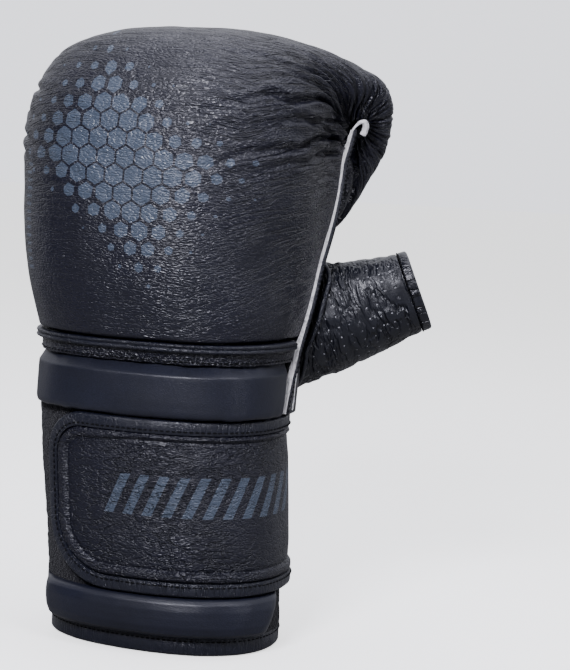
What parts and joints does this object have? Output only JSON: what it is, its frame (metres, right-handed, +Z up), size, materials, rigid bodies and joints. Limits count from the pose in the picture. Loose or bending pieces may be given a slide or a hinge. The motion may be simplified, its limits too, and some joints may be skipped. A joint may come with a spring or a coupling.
{
  "type": "bag glove",
  "caption": "Padded leather glove for punching a bag: thick curled mitt over the fingers, open thumb tube, and a split cuff closed by a wide wrap strap.",
  "frame": {"origin": "middle of the bounding box at the floor, under the open end of the cuff on which the glove stands", "axes": "+Z up from the cuff to the knuckles, +Y towards the palm side, -Y the back of the hand, +X the thumb side (left hand)"},
  "size_m": [0.1786, 0.128, 0.2709],
  "materials": {
    "grain_leather": "semi-matt grained leather",
    "smooth_leather": "smooth satin leather",
    "perforated_leather": "soft leather with fine holes",
    "binding_tape": "matt folded edge binding",
    "loop_fabric": "fuzzy loop fabric",
    "white_piping": "raw white edge"
  },
  "bodies": {
    "root": {"padded_mitt": "grain_leather", "wrist_pad": "smooth_leather", "wrist_yoke": "grain_leather", "wrist_welt": "binding_tape", "palm_panel": "perforated_leather", "thumb_tube": "perforated_leather", "thumb_hem": "binding_tape", "thumb_welt": "binding_tape", "side_piping_thumb": "white_piping", "side_piping_little": "binding_tape", "grip_hem": "binding_tape", "cuff_wall": "perforated_leather", "cuff_binding": "binding_tape", "loop_panel": "loop_fabric", "lower_pad": "smooth_leather", "closure_strap": "grain_leather", "strap_binding": "binding_tape", "strap_root": "binding_tape"}
  },
  "joints": []
}
